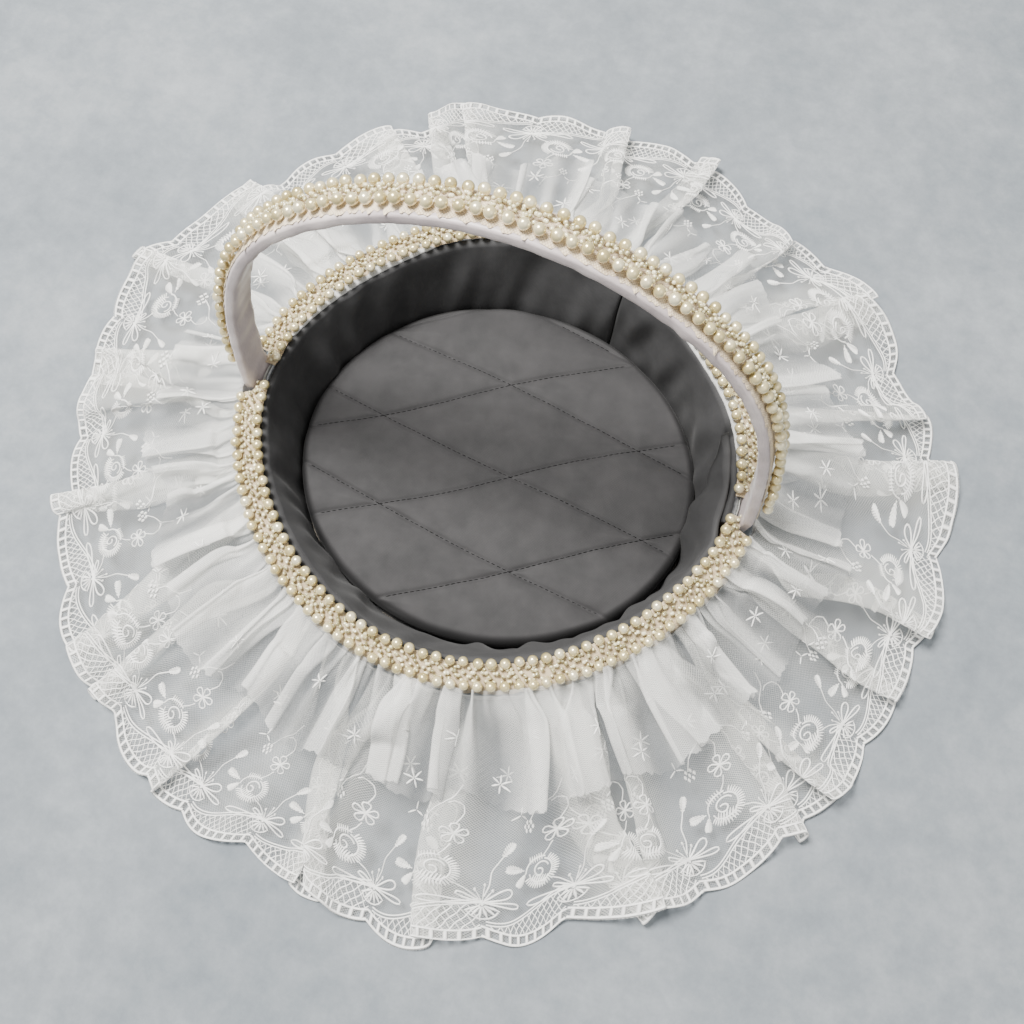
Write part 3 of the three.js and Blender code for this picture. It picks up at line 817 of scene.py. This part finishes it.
def make_handle_trim():
    """Tape, two rows of pearls and seed beads on the handle's outer face."""
    line = HandleLine(6.7 * MM, HANDLE_TRIM_LOW)
    for side, name in ((-1, "front"), (1, "back")):
        along = np.arange(PEARL_PITCH / 2, line.length - PEARL_PITCH / 4, PEARL_PITCH)
        along = along + rng.normal(0, 0.2 * MM, len(along))
        point, outward, across = line.at(along)
        centres = point + across * side * HANDLE_ROW + rng.normal(0, 0.2 * MM, point.shape)
        pearl_strand(f"pearls_handle_{name}", centres, f"handle_pearls_{name}")

    def seat(along, across_by, lift):
        point, outward, across = line.at(np.clip(along, 0, line.length))
        return point + across * across_by + outward * (lift - 2.2 * MM)

    starts = np.arange(PEARL_PITCH / 2, line.length - PEARL_PITCH / 2, PEARL_PITCH * 0.42)
    centres = seed_zigzag(seat, starts, 2.9 * MM, 1.6 * MM)
    seed_strand("seed_beads_handle", centres, "handle_seed_beads")
    make_handle_tape()


def make_handle_tape():
    """Frayed gauze under the handle's pearls."""
    tape_line = HandleLine(3.7 * MM, HANDLE_TRIM_LOW - 2 * MM)
    along = np.linspace(0, tape_line.length, 460)
    point, outward, across = (part[:, None, :] for part in tape_line.at(along))
    t = np.linspace(-1, 1, 13)
    fray = Ripples(61, 40, (1, 2), (200, 2400), 0.2)(0 * t, along[:, None])
    reach = (8.1 * MM + 0.7 * MM * fray * np.abs(t) ** 6) * t
    droop = -0.9 * MM * np.abs(t) ** 8
    co = point + across * reach[..., None] + outward * droop[:, None]
    flat = stacked(along[:, None], t * 7.9 * MM)
    tape = cloth_piece("handle_tape_cloth", co, flat, handle_gauze, "tape", ["handle_trim_tape"])


# ---- Ruffles ----
class Pleats:
    """One level of a ruffle's pleats, count of them with cloth millimetres in each.

    Their weight goes from one value at the heading to another by the row share settled, and laid is
    how far they lean over.
    """

    def __init__(self, draw, length, drift, count, cloth, weights, settled, laid):
        self.length, self.weights, self.settled = length, weights, settled
        self.centres = (np.arange(count) + draw.uniform(-0.22, 0.22, count)) * length / count
        self.cloths = cloth * MM * draw.uniform(0.72, 1.28, count)
        self.leans = laid * draw.uniform(0.45, 1.2, count) * np.where(draw.random(count) < 0.5, -1, 1)
        self.strays = drift * draw.uniform(-1, 1, (count, 3))
        self.forces = draw.uniform(0.9, 1.1, count)

    def at(self, p, share):
        """The bend and the sideways lean at places along the strip, in one row."""
        weight = self.weights[0] + (self.weights[1] - self.weights[0]) * smoothstep(0, self.settled, share)
        sway, phase, slope = self.strays.T
        moved = self.centres + 0.3 * self.cloths * (sway * np.sin(2.2 * share + 3 * phase) + slope * share)
        away = (p - moved[:, None] + self.length / 2) % self.length - self.length / 2
        tau = away / self.cloths[:, None]
        pulse = -np.sin(TURN * tau) * (1 - (2 * tau) ** 4) * (np.abs(tau) < 0.5)
        near = 1 - smoothstep(0.42, 0.6, np.abs(tau))
        return weight * (self.forces @ pulse), weight * (self.leans @ near)


class Ruffle:
    """A strip of cloth, gathered at the mouth and spread at its hem, as rows down by columns round.

    fall is the line that it follows from the heading to the hem, as offsets and heights. Each row is
    bent into its pleats just as strongly as its cloth needs to fit round the basket there.
    """

    def __init__(self, length, width, fall, folds, rows, columns, seed, edge, lay, drift=1.0):
        draw = np.random.default_rng(seed)
        self.length, self.width, self.rows, self.columns = length, width, rows, columns
        self.edge_of = edge
        step = length / columns
        self.p = p = (np.arange(columns) + 0.5) * step
        self.q = np.linspace(0, 1, rows)
        fall = np.array(fall) * MM
        self.line = resample(fall, self.q * arc_lengths(fall)[-1])
        levels = [Pleats(draw, length, drift, *fold) for fold in folds]
        hem_wander = Ripples(seed + 2, 12, (4, 34), (0, 1), 0.5)(TURN * p / length, 0 * p)
        self.co, self.crest = np.empty((rows, columns, 3)), np.empty((rows, columns))
        for i, share in enumerate(self.q):
            offset, base = self.line[i]
            bend, lean = sum(np.array(level.at(p, share)) for level in levels)
            strength = self.gather(bend, TURN * (MOUTH_R + offset) / length)
            run = np.cumsum(np.cos(strength * bend)) * step
            rise = np.cumsum(np.sin(strength * bend)) * step
            rise -= np.linspace(rise[0], rise[-1], columns)
            rise = self.from_valleys(self.without_slow(rise))
            stray = self.without_slow(run / run[-1] - p / length)
            theta = TURN * (p / length + stray) + lean * rise / (MOUTH_R + offset)
            height = rise * (lay[0] + (lay[1] - lay[0]) * smoothstep(0, 0.8, share))
            out = offset + share**2 * 4.2 * MM * hem_wander - 0.2 * height * share
            self.co[i] = on_mouth(theta, out, base + height)
            # How high each corner stands over the valleys of its row, 0 to 1; the net materials paint shade
            # where it is low
            self.crest[i] = np.clip(rise / (np.percentile(rise, 80) + 0.5 * MM), 0, 1)
        self.flat = stacked(p, self.q[:, None] * edge(p))

    @staticmethod
    def gather(bend, ratio):
        """The strength at which the bent strip's length round is the given share of its cloth."""
        low, high = 0.0, 0.2
        while np.cos(high * bend).mean() > ratio and high < 6:
            low, high = high, high + 0.2
        for _ in range(24):
            middle = (low + high) / 2
            low, high = (middle, high) if np.cos(middle * bend).mean() > ratio else (low, middle)
        return high

    @staticmethod
    def from_valleys(wave):
        """Heights over the line that joins the valleys on both sides."""
        low = wave
        for shift in (1, 2, 4, 8, 9):
            low = np.minimum.reduce([low, np.roll(low, shift), np.roll(low, -shift)])
        for _ in range(60):
            low = (np.roll(low, 3) + 2 * low + np.roll(low, -3)) / 4
        return np.maximum(wave - low, 0)

    @staticmethod
    def without_slow(wave):
        """The wave without what rises and falls fewer than nine times in a turn."""
        spectrum = np.fft.rfft(wave)
        spectrum[:9] = 0
        return np.fft.irfft(spectrum, len(wave))

    def cut_edge(self):
        """Pulls the rows back so that the last one follows the cut edge."""
        share = (self.width - self.edge_of(self.p)) / self.width * self.q[:, None]
        for c in range(3):
            self.co[..., c] -= np.gradient(self.co[..., c], axis=0) * (self.rows - 1) * share

    def piece(self, name, material):
        faces = grid_faces(self.rows, self.columns, round_columns=True)
        made = mesh_piece(name, self.co, faces[:, ::-1], material, self.flat)
        made.data.attributes.new("crest", "FLOAT", "POINT").data.foreach_set("value", self.crest.ravel())
        return made

    def normals(self):
        down = np.gradient(self.co, axis=0)
        around = np.roll(self.co, -1, 1) - np.roll(self.co, 1, 1)
        n = np.cross(down, around)
        return n / np.linalg.norm(n, axis=-1, keepdims=True).clip(1e-9)

    def sample(self, grid, p, v):
        """A grid's values at places along the cloth and down it."""
        i = np.clip(v / self.edge_of(p), 0, 1) * (self.rows - 1)
        j = p / self.length * self.columns - 0.5
        i0 = np.clip(np.floor(i).astype(int), 0, self.rows - 2)
        j0 = np.floor(j).astype(int)
        a, b = (i - i0)[:, None], (j - j0)[:, None]
        j1, j0 = (j0 + 1) % self.columns, j0 % self.columns
        top = (1 - b) * grid[i0, j0] + b * grid[i0, j1]
        return (1 - a) * top + a * ((1 - b) * grid[i0 + 1, j0] + b * grid[i0 + 1, j1])

    def embroider(self, name, stitches, material):
        """Raised satin stitch along strokes drawn on the flat cloth, as closed four-sided ribbons."""
        relief = 0.3 * MM
        centre, side, pairs = stitches
        normal = self.normals()
        corners = []
        for across, lift in ((1, 0.06), (0, 1.0), (-1, 0.06), (0, -0.4)):
            p, v = (centre + side * across).T
            corners.append(self.sample(self.co, p, v) + self.sample(normal, p, v) * relief * lift)
        start, end = pairs.T
        quads = []
        for edge in range(4):
            a, b = edge * len(centre), (edge + 1) % 4 * len(centre)
            quads.append(stacked(start + a, start + b, end + b, end + a))
        flat = np.tile(centre, (4, 1))
        return mesh_piece(name, np.concatenate(corners), np.concatenate(quads), material, flat)


SCALLOP_COUNT = 54
LONG_LENGTH, LONG_WIDTH = 2.1, 0.12
SCALLOP_PITCH, SCALLOP_DEPTH = LONG_LENGTH / SCALLOP_COUNT, 5 * MM
PITCH = SCALLOP_PITCH / MM  # one repeat of the lace, in millimetres


def scallop(p):
    """How far the hem is cut back from the scallops' tips at a place along the strip."""
    return SCALLOP_DEPTH * np.abs(2 * (p / SCALLOP_PITCH % 1) - 1) ** 2.2


# ---- Lace drawing ----
# One repeat is drawn in millimetres: x along the hem from a cusp, y up from the tips.
# A stroke is its points and its widths, one for each point.
def stroke(points, width, spacing=1.6):
    points = np.array(points, float)
    total = arc_lengths(points)[-1]
    count = max(2, int(math.ceil(total / spacing)) + 1)
    places = np.linspace(0, total, count)
    widths = np.interp(places, arc_lengths(points), np.broadcast_to(width, len(points)))
    return resample(points, places), widths


def polar(x, y, angle, distance):
    """The point at an angle in degrees and a distance from another point."""
    return x + distance * math.cos(math.radians(angle)), y + distance * math.sin(math.radians(angle))


def ray(x, y, angle, start, end, width):
    """A straight stitch outwards from a point, pointed at both ends."""
    points = [polar(x, y, angle, r) for r in (start, (start + end) / 2, end)]
    return stroke(points, (0.35 * width, width, 0.35 * width), (end - start) / 2)


def dot(x, y, size):
    return ray(x, y, 90, -size, size, 1.7 * size)


def arc(x, y, radius, start, end, width, squash=1.0):
    t = np.radians(np.linspace(start, end, max(4, int(abs(end - start) / 24) + 2)))
    return stroke(stacked(x + radius * np.cos(t), y + radius * squash * np.sin(t)), width, 1.1)


def loop(x, y, angle, length, breadth, width):
    """A teardrop loop from a point outwards."""
    t = np.linspace(0, 1, 15)
    along, across = length * np.sin(math.pi * t) ** 0.8, breadth / 2 * np.sin(TURN * t)
    c, s = math.cos(math.radians(angle)), math.sin(math.radians(angle))
    return stroke(stacked(x + c * along - s * across, y + s * along + c * across), width, 1.3)


def hem_y(x):
    return scallop(np.asarray(x, float) * MM) / MM


def ribbon_y(x):
    """The ribbon line over the lattice: from the ladder at one cusp, up to the bow at the next."""
    return hem_y(x) + 6.2 + 11.5 * smoothstep(-0.04 * PITCH, 0.82 * PITCH, x)


def draw_hem():
    """The ladder border along the scallops, the ribbon line and the lattice between them."""
    x = np.linspace(0, PITCH, 25)
    strokes = [stroke(np.c_[x, hem_y(x) + y], width) for y, width in ((0.75, 1.5), (5.1, 1.2))]
    strokes += [stroke(np.c_[x[1:-1], ribbon_y(x[1:-1]) + y], 0.75) for y in (0, 1.5)]
    rungs = 9
    for k in range(rungs):
        at = (k + 0.5) * PITCH / rungs
        low = float(hem_y(at))
        strokes.append(stroke([(at, low + 0.6), (at, low + 5.2)], 1.7, 2.4))
    spacing = 3.1
    for slant in (1, -1):
        for k in range(-8, 26):
            along = np.linspace(-4, 26, 61)
            px = k * spacing + slant * along * 0.62 + 0.25 * np.sin(along * 0.9 + k)
            low, high = hem_y(px) + 5.2, ribbon_y(px)
            kept = (along > low) & (along < high) & (px > 0.3) & (px < PITCH - 0.3)
            if kept.sum() > 3:
                strokes.append(stroke(np.c_[px[kept], along[kept]], 0.48, 2.0))
    return strokes


def draw_bow(x, y):
    strokes = [
        loop(x, y, 28, 11, 4.2, 0.95), loop(x, y, -10, 14, 2.4, 0.9), loop(x, y, 186, 21, 3.0, 0.9),
        loop(x, y, 156, 9, 1.8, 0.9), dot(x, y, 1.4),
    ]
    for angle, length in ((62, 6.5), (86, 8.5), (112, 6.5)):
        strokes += [ray(x, y, angle, 1, length, 0.6), dot(*polar(x, y, angle, length), 0.8)]
    strokes += [ray(x, y - 1, angle, 0.8, 6.2, 1.2) for angle in (212, 238, 262, 284, 308, 330)]
    strokes += [arc(x, y - 2.6, 5.2, 200, 340, 0.7)]
    return strokes


def draw_rose(x, y):
    """A rose head: a fringe of satin stitches round curled petals."""
    strokes = [ray(x, y, angle, 5.4, 8.6, 0.95) for angle in range(-150, 60, 9)]
    strokes += [arc(x, y, 5.6, -170, 75, 0.8), arc(x + 0.4, y + 0.6, 3.4, 20, 250, 0.9),
                arc(x - 0.6, y - 0.8, 1.8, -120, 120, 0.9), arc(x, y, 7.4, 75, 185, 0.8, 0.9)]
    strokes += [ray(x - 3.8 + 1.15 * k, y - 3.4 - 0.25 * k, 68, -2.6, 2.2, 1.05) for k in range(7)]
    strokes += [ray(x - 5.4 + 1.1 * k, y + 5.2 + 0.3 * k, 100, -1.6, 1.9, 0.95) for k in range(6)]
    return strokes


def draw_leaf(x, y, angle, length, breadth):
    """A feathered leaf: short slanting stitches along a vein."""
    strokes = [stroke([(x, y), polar(x, y, angle, length)], 0.6, 2.5)]
    for k in range(1, 8):
        t = k / 8
        reach = breadth * math.sin(math.pi * t) ** 0.7
        for turn in (42, -42):
            strokes.append(ray(*polar(x, y, angle, length * t), angle + turn, 0, reach, 0.9))
    return strokes


def draw_flower(x, y, petals, size):
    strokes = [loop(x, y, 20 + 360 / petals * k, size, size * 0.62, 0.75) for k in range(petals)]
    return strokes + [dot(x, y, 0.9)]


def draw_berry(x, y):
    return [dot(x, y, 1.0)] + [dot(*polar(x, y, angle, 2.3), 1.05) for angle in range(0, 360, 60)]


def draw_star(x, y, rays=6, size=4.4, turn=0.0):
    return [ray(x, y, turn + 360 / rays * k, 0.3, size, 1.05) for k in range(rays)]


def draw_repeat():
    """One repeat of the lace's embroidery."""
    strokes = draw_hem() + draw_bow(0.5, 21) + draw_rose(-15, 34)
    strokes += draw_leaf(-23.5, 35, 172, 8.5, 3.2) + draw_leaf(-22.5, 33.5, 238, 7.0, 2.8)
    strokes += draw_flower(-10, 52, 5, 5.0) + draw_berry(-22, 56)
    strokes += draw_leaf(6, 42, 62, 8.0, 2.6) + draw_star(12, 62, 3, 4.2, 90)
    stems = [
        [(-9, 29), (-5, 27), (-2, 24), (0, 22)],
        [(-10.5, 47), (-12, 43.5), (-14, 41)],
        [(-22, 58), (-19, 64), (-13, 69), (-11, 76)],
        [(-10, 57), (-8, 62), (-9, 66), (-12, 68), (-14, 66.5)],
        [(6, 42), (3, 36), (2.5, 29), (1, 24)],
    ]
    strokes += [stroke(points, 0.55, 2.0) for points in stems]
    strokes += draw_star(4, 82, 6, 4.6, 15)
    return strokes


def lay_out(strokes, shifts, strip_width):
    """Strokes repeated at shifts (x, y, turn), as centres, half-width sides and joined pairs."""
    lines, widths = zip(*strokes)
    centre = np.concatenate(lines)
    along = np.concatenate([np.gradient(line, axis=0) for line in lines])
    along /= np.linalg.norm(along, axis=1, keepdims=True).clip(1e-9)
    side = stacked(-along[:, 1], along[:, 0]) * np.concatenate(widths)[:, None] / 2
    last = np.cumsum([len(line) for line in lines]) - 1
    first = np.setdiff1d(np.arange(len(centre)), last)
    x, y, turn = np.array(shifts).T
    c, s = np.cos(turn), np.sin(turn)
    rotate = np.stack([stacked(c, s), stacked(-s, c)], 1)
    centres = (centre @ rotate + stacked(x, y)[:, None]) * MM
    sides = side @ rotate * MM
    centres[..., 1] = strip_width - centres[..., 1]
    sides[..., 1] *= -1
    pairs = stacked(first, first + 1) + len(centre) * np.arange(len(shifts))[:, None, None]
    return centres.reshape(-1, 2), sides.reshape(-1, 2), pairs.reshape(-1, 2)


LONG_FALL = [(16.6, 49.5), (19.5, 45.8), (38, 37), (60, 27), (82, 17), (104, 7.6), (118, 2.4), (126, 0.7)]
SHORT_FALL = [(14.9, 55.6), (18.5, 52.2), (30, 46), (45, 39.5), (66, 31.5)]
SHORT_LENGTH, SHORT_WIDTH = 1.9, 0.056


class HeightMap:
    """The highest cloth over the floor, by angle and distance from the middle."""

    def __init__(self, co, near, far, turns=540, rings=44):
        self.near, self.far, self.turns, self.rings = near, far, turns, rings
        t, r = self.cells(co[..., 0], co[..., 1])
        top = np.full((turns, rings), -1.0)
        t, r = np.round(t).astype(int) % turns, np.clip(np.round(r).astype(int), 0, rings - 1)
        np.maximum.at(top, (t, r), co[..., 2])
        for _ in range(4):
            top = np.maximum.reduce([np.roll(top, s, 0) for s in (-1, 0, 1)])
        for _ in range(14):
            top = (np.roll(top, 1, 0) + 2 * top + np.roll(top, -1, 0)) / 4
            padded = np.pad(top, ((0, 0), (1, 1)), mode="edge")
            top = (padded[:, :-2] + 2 * padded[:, 1:-1] + padded[:, 2:]) / 4
        self.top = top

    def cells(self, x, y):
        t = np.arctan2(y, x) / TURN % 1 * self.turns
        r = (np.hypot(x, y) - self.near) / (self.far - self.near) * (self.rings - 1)
        return t, r

    def __call__(self, x, y):
        t, r = self.cells(x, y)
        r = np.clip(r, 0, self.rings - 1.001)
        i, j = np.floor(t).astype(int), np.floor(r).astype(int)
        a, b = t - i, r - j

        def between_rings(i):
            return (1 - b) * self.top[i % self.turns, j] + b * self.top[i % self.turns, j + 1]

        return (1 - a) * between_rings(i) + a * between_rings(i + 1)


def make_lace_ruffle():
    folds = [
        (28, 47, (0.6, 1.0), 0.4, 1.15),
        (44, 44, (0.1, 0.15), 0.8, 0.2),
        (70, 20, (0.8, 0.12), 0.75, 0.5),
        (124, 12, (0.9, 0.0), 0.4, 0.0),
    ]
    lace = Ruffle(LONG_LENGTH, LONG_WIDTH, LONG_FALL, folds, 58, 1560, 71,
                  lambda p: LONG_WIDTH - scallop(p), (0.55, 0.64))
    lace.cut_edge()
    lace.co[..., 2] = np.maximum(lace.co[..., 2], 0.6 * MM)
    net = lace.piece("lace_ruffle", lace_net)
    place(net, "lace", ["long_ruffle"])
    draw = np.random.default_rng(101)
    shifts = [(k * PITCH, draw.normal(0, 0.15), draw.normal(0, 0.008)) for k in range(SCALLOP_COUNT)]
    work = lace.embroider("lace_embroidery", lay_out(draw_repeat(), shifts, LONG_WIDTH), floss)
    place(work, "lace")
    return lace


def raw_edge(p):
    """The short ruffle's cut width: snipped by hand, with small nicks."""
    turn = TURN * p / SHORT_LENGTH
    nicks = np.abs(np.sin(170 * turn + 2 * np.sin(31 * turn))) ** 3
    nicks = nicks + 0.7 * np.abs(np.sin(263 * turn + 1)) ** 4
    return SHORT_WIDTH - 1.1 * MM * nicks - 0.8 * MM * (1 + np.sin(23 * turn + 1.3 * np.sin(9 * turn)))


def make_tulle_ruffle(lace):
    """The short ruffle, laid over the pleats of the long one."""
    folds = [
        (50, 28, (0.6, 1.0), 0.35, 0.8),
        (104, 14, (0.9, 0.4), 0.9, 0.6),
        (170, 8, (0.9, 0.1), 0.5, 0.0),
    ]
    ruffle = Ruffle(SHORT_LENGTH, SHORT_WIDTH, SHORT_FALL, folds, 40, 1900, 83, raw_edge, (0.6, 0.75), 0.35)
    ruffle.cut_edge()
    below = HeightMap(lace.co, MOUTH_R + 15 * MM, MOUTH_R + 75 * MM)
    over = below(ruffle.co[..., 0], ruffle.co[..., 1]) + 1.2 * MM
    lift = np.maximum(over - ruffle.line[:, 1][:, None], 0) * smoothstep(0, 0.1, ruffle.q)[:, None]
    ruffle.co[..., 2] += lift
    cloth = ruffle.piece("tulle_ruffle", tulle)
    place(cloth, "tulle", ["short_ruffle"])
    draw = np.random.default_rng(103)
    stars = 58
    shifts = []
    for k in range(stars):
        x = (k + draw.uniform(-0.3, 0.3)) * SHORT_LENGTH / MM / stars
        shifts.append((x, (16, 31)[k % 2] + draw.uniform(-5, 5), draw.uniform(0, 1)))
    sprigs = ruffle.embroider("tulle_sprigs", lay_out(draw_star(0, 0), shifts, SHORT_WIDTH), floss)
    place(sprigs, "tulle")


def make_heading():
    """The gathering band that both ruffles are sewn to."""
    low, high = span("ruffle_heading")
    offset = high[1] - MOUTH_Y - 0.5 * MM
    theta = np.linspace(0, TURN, 1200, endpoint=False)
    z = np.linspace(low[2], high[2], 8)[:, None]
    pleats = Ripples(91, 20, (60, 190), (-4, 4), 0.2)(theta, z * 30) * 0.16 * MM
    co = on_mouth(theta, offset + pleats, z)
    flat = stacked(theta * MOUTH_R, z)
    band = cloth_piece("heading_band", co, flat, cover_cloth, "tulle", ["ruffle_heading"], round_columns=True)


# ---- Hidden structure, stage ----
def finish_structure():
    """Materials for the CAD nodes that stay: board, shell, wire, cane and rivets."""
    grey_board = board_material("grey_board", (104, 98, 90), (160, 152, 140), (1, 1, 3))
    shell_board = board_material("shell_board", (150, 128, 98), (196, 174, 142), (1, 1, 0.3))
    steel, cane = steel_material(), cane_material()
    finishes = {"base_board": grey_board, "wall_shell": shell_board, "rim_wire": steel, "handle_core": cane}
    for side in ("left", "right"):
        for level in ("lower", "upper"):
            finishes[f"handle_rivet_{side}_{level}"] = steel
    for name, material in finishes.items():
        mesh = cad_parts[name].data
        mesh.materials.clear()
        mesh.materials.append(material)


def make_stage():
    """Floor, soft studio light, and a camera that looks down from the front at 72 degrees."""
    corners = [(-3, -3, 0), (3, -3, 0), (3, 3, 0), (-3, 3, 0)]
    mesh_piece("floor", corners, [[0, 1, 2, 3]], floor_material())
    world = bpy.data.worlds.new("studio")
    world.use_nodes = True
    sky = world.node_tree.nodes["Background"].inputs
    sky["Color"].default_value, sky["Strength"].default_value = (1.0, 0.985, 0.95, 1), 0.75
    bpy.context.scene.world = world
    for name, spot, size, power, colour in (
        ("key", (-0.55, 0.2, 1.55), 0.6, 92, (1.0, 0.98, 0.95)),
        ("fill", (1.1, -0.6, 1.5), 1.4, 5, (0.97, 0.98, 1.0)),
    ):
        light = bpy.data.lights.new(name, "AREA")
        light.shape, light.size, light.energy, light.color = "DISK", size, power, colour
        lamp = bpy.data.objects.new(name, light)
        lamp.location = spot
        lamp.rotation_euler = (-Vector(spot)).to_track_quat("-Z", "Y").to_euler()
        bpy.context.scene.collection.objects.link(lamp)
    data = bpy.data.cameras.new("camera")
    data.lens, data.sensor_width = 36.2, 36
    camera = bpy.data.objects.new("camera", data)
    turn = math.radians(17)
    side, back, up = 0.0074, -0.1891, 0.4616  # from the mouth's middle, before the turn
    c, s = math.cos(turn), math.sin(turn)
    camera.location = (side * c - back * s, side * s + back * c, PEARL_Z + up)
    camera.rotation_euler = (math.radians(90 - 72), 0, turn)
    bpy.context.scene.collection.objects.link(camera)
    bpy.context.scene.camera = camera


make_base_lining()
make_pad()
make_lining()
make_cover()
make_rim_trim()
make_gauze_edges()
make_handle_wrap()
make_handle_trim()
make_heading()
lace = make_lace_ruffle()
make_tulle_ruffle(lace)
finish_structure()
make_stage()
